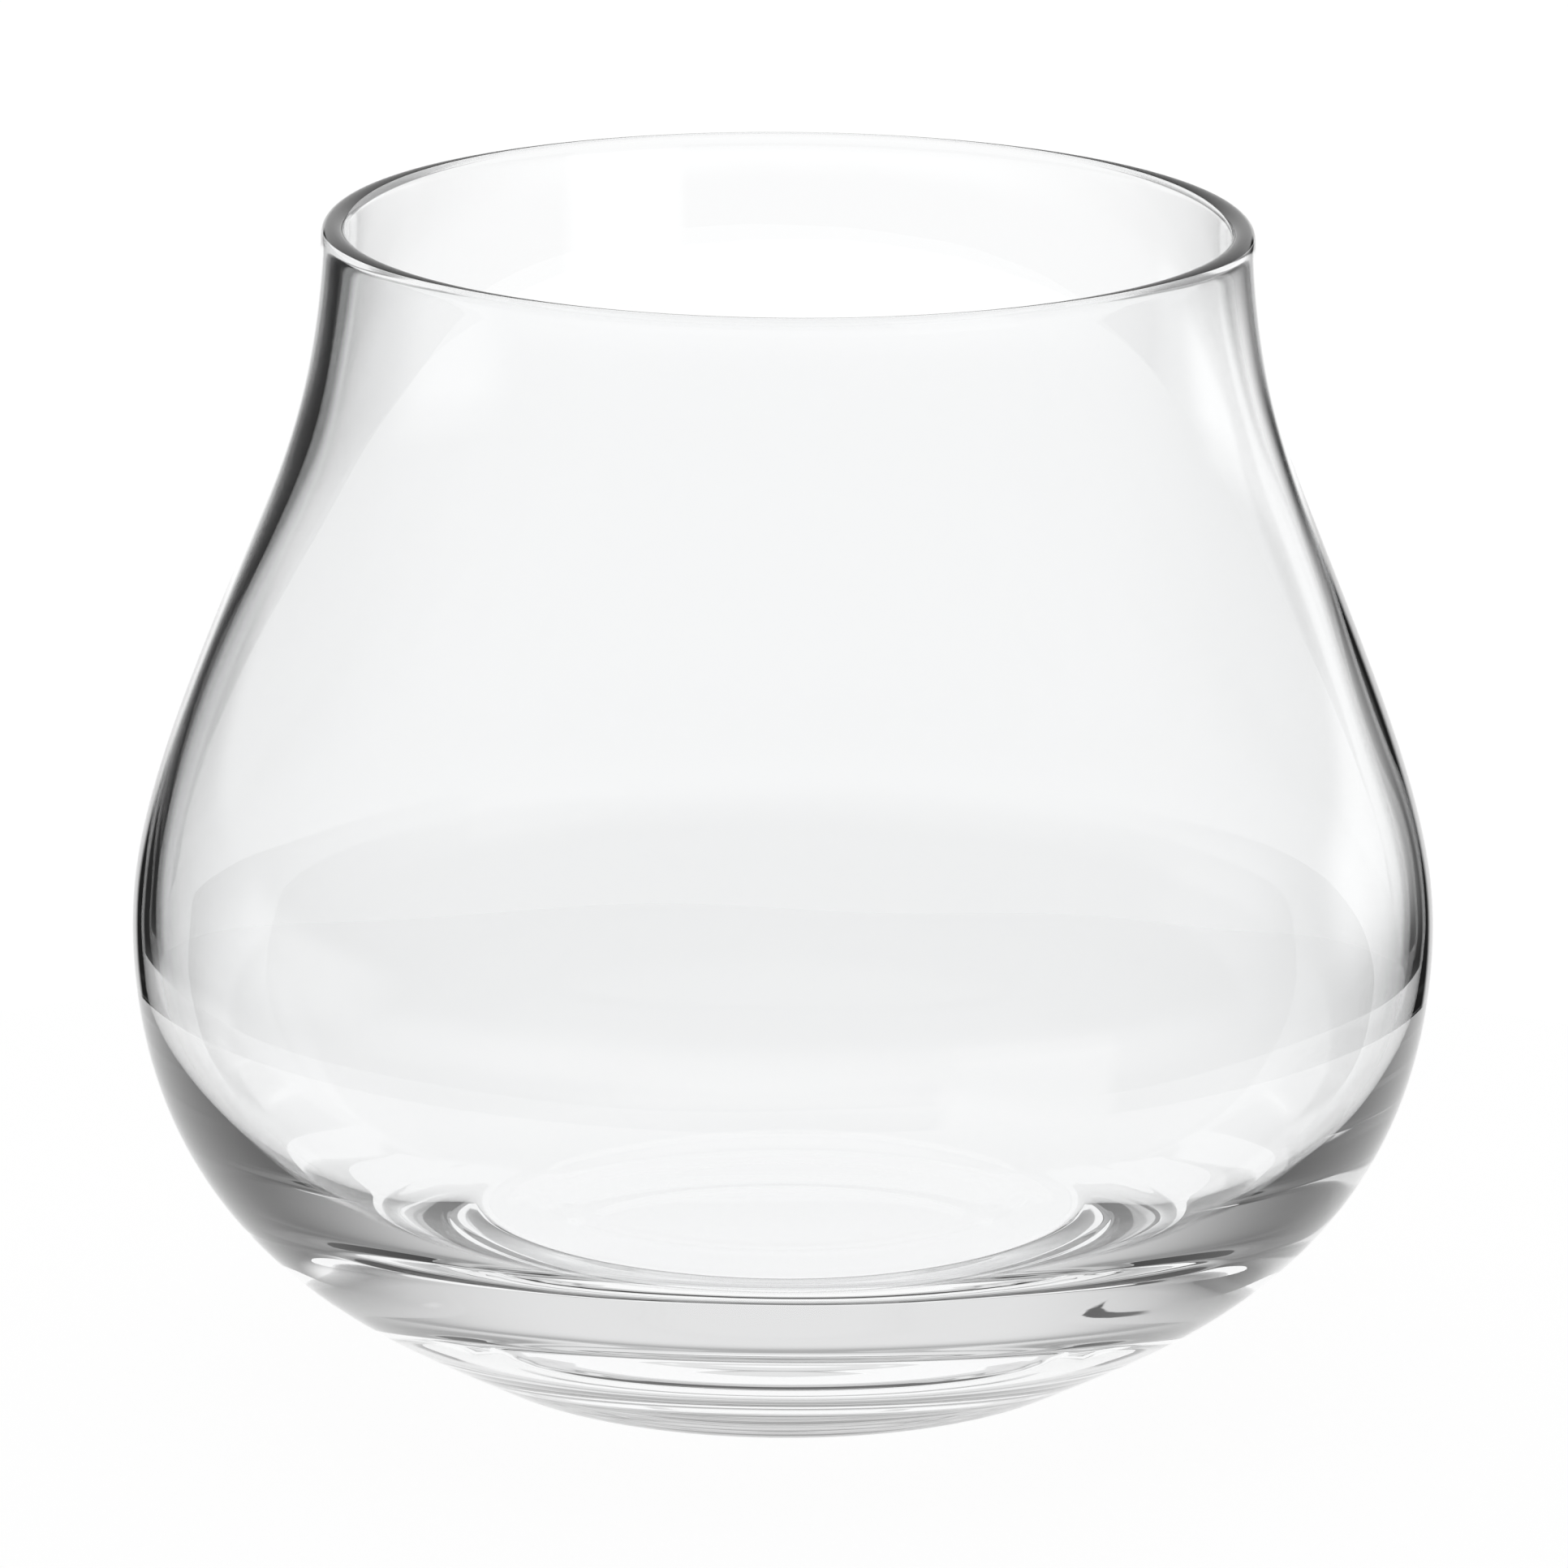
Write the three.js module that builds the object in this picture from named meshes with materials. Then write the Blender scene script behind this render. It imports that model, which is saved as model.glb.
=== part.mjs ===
// Mixing glass: one piece of clear glass, a bulbous bowl on a thick base with a drawn-in, unlipped mouth.
// Millimetres, +Z up. The origin is on the axis, at the level of the ring that the glass stands on.

import * as THREE from "three";

// Driving dimensions of the outside
const overallHeight = 105.4;
const bellyDiameter = 118;
const bellyHeight = 41; // the widest level, above the table
const mouthDiameter = 83.8; // outside, at the foot of the rounded rim
const neckLength = 27.5; // from the shoulder, where the outside turns from convex to concave, up to the rim
const shoulderShare = 0.342; // how far out the shoulder lies, on the way from the mouth's width to the belly's
const shoulderLean = 22; // degrees from upright
const neckLean = 2.5; // degrees from upright, just under the rim
const footDiameter = 53.5; // outer edge of the ring that the glass stands on
const footRingWidth = 4;
const footEdgeRadius = 6; // rounding between the standing ring and the lower flank
const flankAngle = 28; // degrees above the table, of the cone above the rounding
const flankConeLength = 5.2; // how far the flank runs straight before it curves up into the belly
const puntDepth = 0.6; // hollow under the base, inside the standing ring

// Driving dimensions of the inside
const baseThickness = 12; // from the standing ring's level up to the middle of the floor
const floorRise = 0.1; // the floor's edge stands this much above its middle
const floorDiameter = 49.6; // the nearly flat middle of the inside
const bellyWall = 2;
const innerBellyRise = 0.6; // the inside is widest this much higher than the outside
const shoulderWall = 1.8;
const rimThickness = 2.2;
const rimRise = 1.1; // how far the fire-polished rounding of the rim climbs above the straight wall

// How full each curve is: its low and high handles' reach, as a share of the way to where its end tangents cross
const flankFullness = { low: 0.36, high: 1 };
const bellyFullness = { low: 1, high: 0.62 };
const neckFullness = { low: 0.42, high: 1 };
const bowlFullness = { low: 0.7, high: 0.6 };

// How finely each stretch of the outline is cut into straight steps
const turns = 60;
const flankSteps = 10;
const bellySteps = 7;
const neckSteps = 6;
const bowlSteps = 12;
const edgeSteps = 2;
const rimSteps = 6;

const glassMaterial = new THREE.MeshStandardMaterial({
  color: 0xf2f6f7,
  roughness: 0.02,
  metalness: 0,
  transparent: true,
  opacity: 0.35,
});

const radians = THREE.MathUtils.degToRad;

// A point of the outline: x is the distance from the axis, y is the height.
function at(radius, height) {
  return new THREE.Vector2(radius, height);
}

// The direction that climbs while leaning towards the axis by an angle in degrees.
function leaning(degrees) {
  return at(-Math.sin(radians(degrees)), Math.cos(radians(degrees)));
}

// The direction that runs outwards while climbing by an angle in degrees.
function climbing(degrees) {
  return at(Math.cos(radians(degrees)), Math.sin(radians(degrees)));
}

// Where the line through one point along one direction crosses the line through another point.
function crossing(from, along, to, arriving) {
  const share = to.clone().sub(from).cross(arriving) / along.cross(arriving);
  return from.clone().addScaledVector(along, share);
}

// A smooth rising stretch that leaves one point along a direction and arrives at another along its own.
function stretch(low, leaving, high, arriving, fullness, steps) {
  const corner = crossing(low, leaving, high, arriving);
  const lowHandle = low.clone().lerp(corner, fullness.low);
  const highHandle = high.clone().lerp(corner, fullness.high);
  return new THREE.CubicBezierCurve(low, lowHandle, highHandle, high).getPoints(steps);
}

// Where the outside and the inside change from one stretch to the next
const footRadius = footDiameter / 2;
const bellyRadius = bellyDiameter / 2;
const mouthRadius = mouthDiameter / 2;
const shoulderRadius = mouthRadius + (bellyRadius - mouthRadius) * shoulderShare;
const shoulderHeight = overallHeight - neckLength;
const rimBase = overallHeight - rimRise;
const floorRadius = floorDiameter / 2;
const innerBellyHeight = bellyHeight + innerBellyRise;
const upright = at(0, 1);

// The underside, from the axis to the start of the flank: the punt, the standing ring and its rounded edge
function undersideOutline() {
  const puntRadius = footRadius - footRingWidth;
  const points = [];
  for (let step = 0; step < edgeSteps * 2; step += 1) {
    const share = step / (edgeSteps * 2);
    points.push(at(puntRadius * share, puntDepth * (1 - share * share)));
  }
  points.push(at(puntRadius, 0));
  for (let step = 0; step <= edgeSteps; step += 1) {
    const angle = radians(flankAngle) * (step / edgeSteps);
    const run = footEdgeRadius * Math.sin(angle);
    const climb = footEdgeRadius * (1 - Math.cos(angle));
    points.push(at(footRadius + run, climb));
  }
  return points;
}

// The outside, from the end of the foot's rounding to the rim
function outsideOutline(coneStart) {
  const coneEnd = coneStart.clone().addScaledVector(climbing(flankAngle), flankConeLength);
  const belly = at(bellyRadius, bellyHeight);
  const shoulder = at(shoulderRadius, shoulderHeight);
  const neck = at(mouthRadius, rimBase);
  const lean = leaning(shoulderLean);
  return [
    ...stretch(coneEnd, climbing(flankAngle), belly, upright, flankFullness, flankSteps),
    ...stretch(belly, upright, shoulder, lean, bellyFullness, bellySteps).slice(1),
    ...stretch(shoulder, lean, neck, leaning(neckLean), neckFullness, neckSteps).slice(1),
  ];
}

// The rim: half an ellipse over the top, between the outside and the inside of the wall
function rimOutline() {
  const middle = mouthRadius - rimThickness / 2;
  const points = [];
  for (let step = 1; step < rimSteps; step += 1) {
    const angle = Math.PI * (step / rimSteps);
    points.push(at(middle + (rimThickness / 2) * Math.cos(angle), rimBase + rimRise * Math.sin(angle)));
  }
  return points;
}

// The inside, from the rim down to the middle of the floor
function insideOutline() {
  const lean = leaning(shoulderLean);
  const wallShift = lean.clone().rotateAround(at(0, 0), Math.PI / 2).multiplyScalar(shoulderWall);
  const neck = at(mouthRadius - rimThickness, rimBase);
  const shoulder = at(shoulderRadius, shoulderHeight).add(wallShift);
  const belly = at(bellyRadius - bellyWall, innerBellyHeight);
  const floorEdge = at(floorRadius, baseThickness + floorRise);
  const floorSlope = THREE.MathUtils.radToDeg(Math.atan2(2 * floorRise, floorRadius));
  const floor = [];
  for (let step = 0; step < edgeSteps; step += 1) {
    const share = step / edgeSteps;
    floor.push(at(floorRadius * share, baseThickness + floorRise * share * share));
  }
  return [
    ...floor,
    ...stretch(floorEdge, climbing(floorSlope), belly, upright, bowlFullness, bowlSteps),
    ...stretch(belly, upright, shoulder, lean, bellyFullness, bellySteps).slice(1),
    ...stretch(shoulder, lean, neck, leaning(neckLean), neckFullness, neckSteps).slice(1),
  ].reverse();
}

function makeGlassBody() {
  const underside = undersideOutline();
  const outline = [
    ...underside,
    ...outsideOutline(underside[underside.length - 1]),
    ...rimOutline(),
    ...insideOutline(),
  ];
  const lathe = new THREE.LatheGeometry(outline, turns);
  lathe.rotateX(Math.PI / 2);
  const body = new THREE.Mesh(lathe, glassMaterial);
  body.name = "glass_body";
  return body;
}

const mixingGlass = new THREE.Group();
mixingGlass.add(makeGlassBody());

export default mixingGlass;
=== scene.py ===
# A clear mixing glass: the smooth, slightly uneven blown surface, its glass, the pale table, the studio
# and the camera.
# Metres, +Z up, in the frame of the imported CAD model, whose outline the fine surface follows.

import math

import bmesh
import bpy
import numpy as np
from mathutils import Matrix, Vector


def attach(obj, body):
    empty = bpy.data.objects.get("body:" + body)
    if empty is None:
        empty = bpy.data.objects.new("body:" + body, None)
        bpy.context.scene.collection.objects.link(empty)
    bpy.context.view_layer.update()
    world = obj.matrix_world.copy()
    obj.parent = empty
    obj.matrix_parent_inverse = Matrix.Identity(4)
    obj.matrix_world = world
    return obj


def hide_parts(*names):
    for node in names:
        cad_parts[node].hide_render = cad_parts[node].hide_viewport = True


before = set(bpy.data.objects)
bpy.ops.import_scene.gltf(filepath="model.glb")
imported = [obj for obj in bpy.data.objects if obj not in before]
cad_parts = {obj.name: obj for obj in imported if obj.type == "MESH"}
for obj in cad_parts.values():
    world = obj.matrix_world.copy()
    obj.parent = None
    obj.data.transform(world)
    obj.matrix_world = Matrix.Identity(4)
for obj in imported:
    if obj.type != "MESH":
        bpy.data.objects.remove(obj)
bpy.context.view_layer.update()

MILLIMETRE = 0.001

# The fine surface
MERGE_DISTANCE = 1e-6
STEP_LENGTH = 0.9 * MILLIMETRE
FEWEST_STEPS = 3  # in each step of the CAD outline
TURNS = 256
COARSE_TO_FINE = 3.0  # where two gaps differ by more than this, the curve follows the coarser one

# How far the blown surface wanders from a true turning
OUTSIDE_WANDER = 0.03 * MILLIMETRE
INSIDE_WANDER = 0.16 * MILLIMETRE
WANDER_START = 0.06  # shares of the whole height: how far above the table or the floor it takes to grow,
WANDER_END = (0.02, 0.2)  # and how far below the top it dies out
WANDER_WAVES = (  # each wave's share, waves round the glass, turn as it climbs, and starting angle
    (0.40, 2, 0.7, 0.4),
    (0.30, 3, -1.3, 1.9),
    (0.18, 5, 2.1, 3.1),
    (0.12, 9, -3.4, 5.0),
)

# A shallow raised ring on the floor, such as the forming can leave
FLOOR_RING_RADIUS = 22.0 * MILLIMETRE
FLOOR_RING_WIDTH = 1.4 * MILLIMETRE
FLOOR_RING_HEIGHT = 0.25 * MILLIMETRE
FLOOR_RING_FADE = 0.03  # share of the whole height over which it dies out up the bowl

# The glass
GLASS_COLOUR = (0.992, 0.996, 0.998, 1.0)
GLASS_IOR = 1.5
FILM_SCALE = 60.0
FILM_DETAIL = 3.0
FILM_RANGE = (0.45, 0.75)  # the noise that stands for none of the film and for all of it
FILM_ROUGHNESS = 0.02
WAVE_SCALE = 35.0
WAVE_DETAIL = 1.0
WAVE_STRENGTH = 0.25
WAVE_DEPTH = 0.2 * MILLIMETRE

# The table
TABLE_RADIUS = 0.14
TABLE_SIDES = 128
TABLE_DROP = 0.02 * MILLIMETRE  # keeps the table's surface clear of the ring that stands on it
TABLE_COLOUR = (0.15, 0.15, 0.15, 1.0)
TABLE_GLOW = 0.95
TABLE_ROUGHNESS = 0.9

# The studio's upright strips of light: each one's bearing, how far from it its edge starts and stops fading,
# and its light. Bearings are 0 behind the glass and positive to the right. All angles are in degrees.
WHITE = 1.02
DARK = 0.03
BACKDROP = (0.0, 14.0, 19.0, WHITE)
LEFT_WINDOW = (-90.0, 5.0, 26.0, 0.6)
RIGHT_WINDOW = (45.0, 14.0, 26.0, 0.95)
FRONT_PANEL = (135.0, 14.0, 20.0, WHITE)
GROUND_PANEL = (-45.0, 14.0, 22.0, WHITE)

# The light in front of the glass, which grows over these bearings and weakens over these heights
FRONT_LIGHT = 0.95
FRONT_BEARINGS = (60.0, 145.0)
FRONT_HEIGHTS = (-12.0, -2.0)
FRONT_SHARE_ABOVE = 0.1

# The heights over which one part of the studio gives way to the next
LEFT_WINDOW_FOOT = (-20.0, -7.0)
RIGHT_WINDOW_FOOT = (-16.0, -4.0)
FRONT_PANEL_TOP = (-9.0, -6.0)
NADIR_TOP = (-50.0, -36.0)
GROUND_TOP = (-21.0, -17.0)
HORIZON = (0.5, 4.0)
MIDDLE_TOP = (28.0, 50.0)
CEILING_RISE = (52.0, 66.0)

# The rest of the studio's light
NADIR_LIGHT = 1.0
GROUND_LIGHT = 0.35
MIDDLE_LIGHT = 0.78
MIDDLE_BEARINGS = (18.0, 78.0)
CEILING_EDGE_LIGHT = 0.24
CEILING_LIGHT = 0.55

# The camera: where it aims, and how it looks at that point
AIM_HEIGHT = 53.44 * MILLIMETRE
CAMERA_DISTANCE = 1.199
CAMERA_ELEVATION = math.radians(14.19)
CAMERA_ROLL = math.radians(0.45)
SENSOR_WIDTH = 36.0
FOCAL_LENGTH = 303.8
CLIP_NEAR = 0.01
CLIP_FAR = 20.0

# Light paths
GLASS_BOUNCES = 24
DIFFUSE_BOUNCES = 2


# ---------------------------------------------------------------- the outline

def cad_outline(node):
    """The node's outline as (radius, height) rows, walked along its edges in the half plane x >= 0, y = 0,
    from the middle of the underside, up the outside and down the inside to the middle of the floor."""
    mesh = bmesh.new()
    mesh.from_mesh(node.data)
    bmesh.ops.remove_doubles(mesh, verts=mesh.verts, dist=MERGE_DISTANCE)
    in_plane = {v for v in mesh.verts if abs(v.co.y) < MERGE_DISTANCE and v.co.x > -MERGE_DISTANCE}
    on_axis = [v for v in in_plane if v.co.x < MERGE_DISTANCE]
    current = min(on_axis, key=lambda v: v.co.z)
    seen = set()
    rows = []
    while current is not None:
        seen.add(current)
        rows.append((current.co.x, current.co.z))
        beside = [edge.other_vert(current) for edge in current.link_edges]
        current = next((v for v in beside if v in in_plane and v not in seen), None)
    mesh.free()
    return np.array(rows)


def coarse_slope(points, gaps, i):
    """The slope where a coarse stretch meets a fine one, carried on from the coarse one, or None."""
    before = gaps[i - 1]
    after = gaps[i]
    if max(before, after) < COARSE_TO_FINE * min(before, after):
        return None
    away = -1 if before > after else 1
    near = i - 1 if before > after else i
    rise = (points[near + 1] - points[near]) / gaps[near]
    further = (points[near + away + 1] - points[near + away]) / gaps[near + away]
    return rise + (rise - further) * gaps[near] / (gaps[near] + gaps[near + away])


def spline_slopes(points, gaps, first, last):
    """The slope at each point of a cubic spline of continuous curvature, with its end slopes given."""
    count = len(points)
    weights = np.eye(count)
    sides = np.zeros_like(points)
    sides[0] = first
    sides[-1] = last
    for i in range(1, count - 1):
        slope = coarse_slope(points, gaps, i)
        if slope is not None:
            sides[i] = slope
            continue
        before = gaps[i - 1]
        after = gaps[i]
        weights[i, i - 1] = after
        weights[i, i] = 2.0 * (before + after)
        weights[i, i + 1] = before
        rise_before = (points[i] - points[i - 1]) / before
        rise_after = (points[i + 1] - points[i]) / after
        sides[i] = 3.0 * (after * rise_before + before * rise_after)
    return np.linalg.solve(weights, sides)


def smooth_outline(points):
    """The outline's points joined by a smooth curve, cut into short steps."""
    gaps = np.linalg.norm(np.diff(points, axis=0), axis=1)
    outwards = np.array([1.0, 0.0])
    slopes = spline_slopes(points, gaps, outwards, -outwards)
    rows = []
    for i, gap in enumerate(gaps):
        steps = max(FEWEST_STEPS, math.ceil(gap / STEP_LENGTH))
        for step in range(steps):
            t = step / steps
            rows.append(
                (2 * t**3 - 3 * t**2 + 1) * points[i]
                + (t**3 - 2 * t**2 + t) * gap * slopes[i]
                + (3 * t**2 - 2 * t**3) * points[i + 1]
                + (t**3 - t**2) * gap * slopes[i + 1]
            )
    rows.append(points[-1])
    rows = np.array(rows)
    rows[:, 1] = np.maximum(rows[:, 1], points[:, 1].min())
    return rows


# ---------------------------------------------------------------- the blown surface

def fade(value, start, end):
    """0 before start, 1 after end, and a smooth change between them."""
    share = min(max((value - start) / (end - start), 0.0), 1.0)
    return share * share * (3.0 - 2.0 * share)


def wander(angle, height, top):
    """How a blown wall leaves a true turning, from -1 to 1: broad waves that drift as they climb."""
    climb = height / top * math.tau
    return sum(
        share * math.sin(waves * angle + turn * climb + start)
        for share, waves, turn, start in WANDER_WAVES
    )


def wander_reach(inside, height, low_end, top):
    """How far the wall may wander at a height: not at all at its low end, nor near the rim."""
    reach = INSIDE_WANDER if inside else OUTSIDE_WANDER
    grown = fade(height, low_end, low_end + WANDER_START * top)
    return reach * grown * fade(top - height, WANDER_END[0] * top, WANDER_END[1] * top)


def floor_ring(radius, height, low_end, top):
    """How much the raised ring on the floor adds to the inside's height."""
    across = (radius - FLOOR_RING_RADIUS) / FLOOR_RING_WIDTH
    below_end = low_end + WANDER_START * top - height
    return FLOOR_RING_HEIGHT * math.exp(-(across**2)) * fade(below_end, 0.0, FLOOR_RING_FADE * top)


def build_glass(outline):
    """Turns the outline into one closed mesh, with the walls' unevenness and the floor's ring in it."""
    top = outline[:, 1].max()
    rim_row = int(np.argmax(outline[:, 1]))
    floor_height = outline[-1, 1]
    mesh = bmesh.new()
    rings = []
    for row, (radius, height) in enumerate(outline[1:-1], start=1):
        inside = row > rim_row
        low_end = floor_height if inside else 0.0
        reach = wander_reach(inside, height, low_end, top)
        if inside:
            height += floor_ring(radius, height, low_end, top)
        ring = []
        for turn in range(TURNS):
            angle = math.tau * turn / TURNS
            drawn = radius + reach * wander(angle, height, top)
            ring.append(mesh.verts.new((drawn * math.cos(angle), drawn * math.sin(angle), height)))
        rings.append(ring)
    under_middle = mesh.verts.new((0.0, 0.0, outline[0, 1]))
    floor_middle = mesh.verts.new((0.0, 0.0, outline[-1, 1]))
    for turn in range(TURNS):
        after = (turn + 1) % TURNS
        mesh.faces.new((under_middle, rings[0][after], rings[0][turn]))
        mesh.faces.new((floor_middle, rings[-1][turn], rings[-1][after]))
        for low, high in zip(rings, rings[1:]):
            mesh.faces.new((low[turn], low[after], high[after], high[turn]))
    for face in mesh.faces:
        face.smooth = True
    data = bpy.data.meshes.new("glass_surface")
    mesh.to_mesh(data)
    mesh.free()
    glass = bpy.data.objects.new("glass_surface", data)
    bpy.context.scene.collection.objects.link(glass)
    return glass


# ---------------------------------------------------------------- materials

def new_material(name):
    material = bpy.data.materials.new(name)
    material.use_nodes = True
    return material, material.node_tree, material.node_tree.nodes["Principled BSDF"]


def glass_material():
    """Clear fire-polished glass: a faint film that varies the gloss, and broad shallow waves."""
    material, tree, shader = new_material("clear_blown_glass")
    shader.inputs["Base Color"].default_value = GLASS_COLOUR
    shader.inputs["IOR"].default_value = GLASS_IOR
    shader.inputs["Transmission Weight"].default_value = 1.0

    place = tree.nodes.new("ShaderNodeTexCoord")
    film = tree.nodes.new("ShaderNodeTexNoise")
    film.inputs["Scale"].default_value = FILM_SCALE
    film.inputs["Detail"].default_value = FILM_DETAIL
    tree.links.new(place.outputs["Object"], film.inputs["Vector"])

    gloss = tree.nodes.new("ShaderNodeMapRange")
    gloss.inputs["From Min"].default_value = FILM_RANGE[0]
    gloss.inputs["From Max"].default_value = FILM_RANGE[1]
    gloss.inputs["To Min"].default_value = 0.0
    gloss.inputs["To Max"].default_value = FILM_ROUGHNESS
    tree.links.new(film.outputs["Fac"], gloss.inputs["Value"])
    tree.links.new(gloss.outputs["Result"], shader.inputs["Roughness"])

    waves = tree.nodes.new("ShaderNodeTexNoise")
    waves.inputs["Scale"].default_value = WAVE_SCALE
    waves.inputs["Detail"].default_value = WAVE_DETAIL
    tree.links.new(place.outputs["Object"], waves.inputs["Vector"])

    relief = tree.nodes.new("ShaderNodeBump")
    relief.inputs["Strength"].default_value = WAVE_STRENGTH
    relief.inputs["Distance"].default_value = WAVE_DEPTH
    tree.links.new(waves.outputs["Fac"], relief.inputs["Height"])
    tree.links.new(relief.outputs["Normal"], shader.inputs["Normal"])
    return material


def table_material():
    """A matt white table top, lit through from below as a product table is."""
    material, tree, shader = new_material("lit_table")
    shader.inputs["Base Color"].default_value = TABLE_COLOUR
    shader.inputs["Roughness"].default_value = TABLE_ROUGHNESS
    shader.inputs["Specular IOR Level"].default_value = 0.0
    shader.inputs["Emission Color"].default_value = (1.0, 1.0, 1.0, 1.0)
    shader.inputs["Emission Strength"].default_value = TABLE_GLOW
    material.cycles.emission_sampling = "NONE"
    return material


# ---------------------------------------------------------------- the studio

def build_table():
    mesh = bmesh.new()
    bmesh.ops.create_circle(mesh, cap_ends=True, segments=TABLE_SIDES, radius=TABLE_RADIUS)
    data = bpy.data.meshes.new("table_top")
    mesh.to_mesh(data)
    mesh.free()
    data.materials.append(table_material())
    table = bpy.data.objects.new("table_top", data)
    table.location.z = -TABLE_DROP
    bpy.context.scene.collection.objects.link(table)


class Sums:
    """Writes arithmetic as nodes, so that the studio's light is one readable formula."""

    def __init__(self, tree):
        self.tree = tree

    def math(self, operation, *values):
        node = self.tree.nodes.new("ShaderNodeMath")
        node.operation = operation
        for socket, value in zip(node.inputs, values):
            if isinstance(value, (int, float)):
                socket.default_value = value
            else:
                self.tree.links.new(value, socket)
        return node.outputs[0]

    def fade(self, value, start, end, low=0.0, high=1.0):
        """low before start, high after end, and a smooth change between them."""
        node = self.tree.nodes.new("ShaderNodeMapRange")
        node.interpolation_type = "SMOOTHSTEP"
        self.tree.links.new(value, node.inputs["Value"])
        node.inputs["From Min"].default_value = start
        node.inputs["From Max"].default_value = end
        node.inputs["To Min"].default_value = low
        node.inputs["To Max"].default_value = high
        return node.outputs["Result"]

    def mix(self, share, low, high):
        """low where share is 0 and high where it is 1."""
        low_part = self.math("MULTIPLY", self.math("SUBTRACT", 1.0, share), low)
        return self.math("ADD", low_part, self.math("MULTIPLY", share, high))

    def brightest(self, *lights):
        most = lights[0]
        for light in lights[1:]:
            most = self.math("MAXIMUM", most, light)
        return most


def build_studio():
    """The light all round: a white backdrop, a bright front, dark gaps and a soft ceiling."""
    world = bpy.data.worlds.new("studio")
    world.use_nodes = True
    bpy.context.scene.world = world
    tree = world.node_tree
    sums = Sums(tree)
    place = tree.nodes.new("ShaderNodeTexCoord")
    parts = tree.nodes.new("ShaderNodeSeparateXYZ")
    tree.links.new(place.outputs["Generated"], parts.inputs["Vector"])
    x, y, z = parts.outputs
    height = sums.math("DEGREES", sums.math("ARCSINE", z))
    bearing = sums.math("DEGREES", sums.math("ARCTAN2", x, y))
    aside = sums.math("ABSOLUTE", bearing)

    def strip(middle, inner, outer, light):
        """A soft-edged upright strip of light round one bearing."""
        away = sums.math("ABSOLUTE", sums.math("SUBTRACT", bearing, middle))
        return sums.fade(away, inner, outer, light, 0.0)

    # Below the horizon: the backdrop, the front, a window on each side and a panel in front
    backdrop = strip(*BACKDROP)
    front = sums.math(
        "MULTIPLY",
        sums.fade(aside, *FRONT_BEARINGS, 0.0, FRONT_LIGHT),
        sums.fade(height, *FRONT_HEIGHTS, 1.0, FRONT_SHARE_ABOVE),
    )
    left_window = sums.math("MULTIPLY", strip(*LEFT_WINDOW), sums.fade(height, *LEFT_WINDOW_FOOT))
    right_window = sums.math("MULTIPLY", strip(*RIGHT_WINDOW), sums.fade(height, *RIGHT_WINDOW_FOOT))
    panel_top = sums.fade(height, *FRONT_PANEL_TOP, 1.0, 0.0)
    front_panel = sums.math("MULTIPLY", strip(*FRONT_PANEL), panel_top)
    low = sums.brightest(backdrop, front, left_window, right_window, front_panel, DARK)

    # The ground beyond the table, and straight down
    ground = sums.brightest(backdrop, front_panel, strip(*GROUND_PANEL), GROUND_LIGHT)
    ground = sums.mix(sums.fade(height, *NADIR_TOP), NADIR_LIGHT, ground)
    low = sums.mix(sums.fade(height, *GROUND_TOP), ground, low)

    # Above the horizon: bright behind, dark to the sides and in front, under a pale ceiling
    middle = sums.fade(aside, *MIDDLE_BEARINGS, MIDDLE_LIGHT, DARK)
    ceiling = sums.fade(height, *CEILING_RISE, CEILING_EDGE_LIGHT, CEILING_LIGHT)
    high = sums.mix(sums.fade(height, *MIDDLE_TOP), middle, ceiling)

    light = sums.mix(sums.fade(height, *HORIZON), low, high)
    background = tree.nodes["Background"]
    tree.links.new(light, background.inputs["Color"])
    background.inputs["Strength"].default_value = 1.0


def build_camera():
    data = bpy.data.cameras.new("camera")
    data.sensor_width = SENSOR_WIDTH
    data.lens = FOCAL_LENGTH
    data.clip_start = CLIP_NEAR
    data.clip_end = CLIP_FAR
    camera = bpy.data.objects.new("camera", data)
    bpy.context.scene.collection.objects.link(camera)
    aim = Vector((0.0, 0.0, AIM_HEIGHT))
    back = Vector((0.0, -math.cos(CAMERA_ELEVATION), math.sin(CAMERA_ELEVATION)))
    turn = (-back).to_track_quat("-Z", "Y").to_matrix().to_4x4()
    place = Matrix.Translation(aim + back * CAMERA_DISTANCE)
    camera.matrix_world = place @ turn @ Matrix.Rotation(CAMERA_ROLL, 4, "Z")
    bpy.context.scene.camera = camera


def set_light_paths():
    """Enough bounces for light to pass through the thick base and out again."""
    scene = bpy.context.scene
    scene.view_settings.view_transform = "Standard"
    scene.cycles.max_bounces = GLASS_BOUNCES
    scene.cycles.transmission_bounces = GLASS_BOUNCES
    scene.cycles.glossy_bounces = GLASS_BOUNCES
    scene.cycles.diffuse_bounces = DIFFUSE_BOUNCES
    scene.cycles.use_denoising = True


# ---------------------------------------------------------------- the object

def make_glass():
    outline = smooth_outline(cad_outline(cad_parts["glass_body"]))
    glass = build_glass(outline)
    glass.data.materials.append(glass_material())
    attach(glass, "root")
    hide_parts("glass_body")


make_glass()
build_table()
build_studio()
build_camera()
set_light_paths()
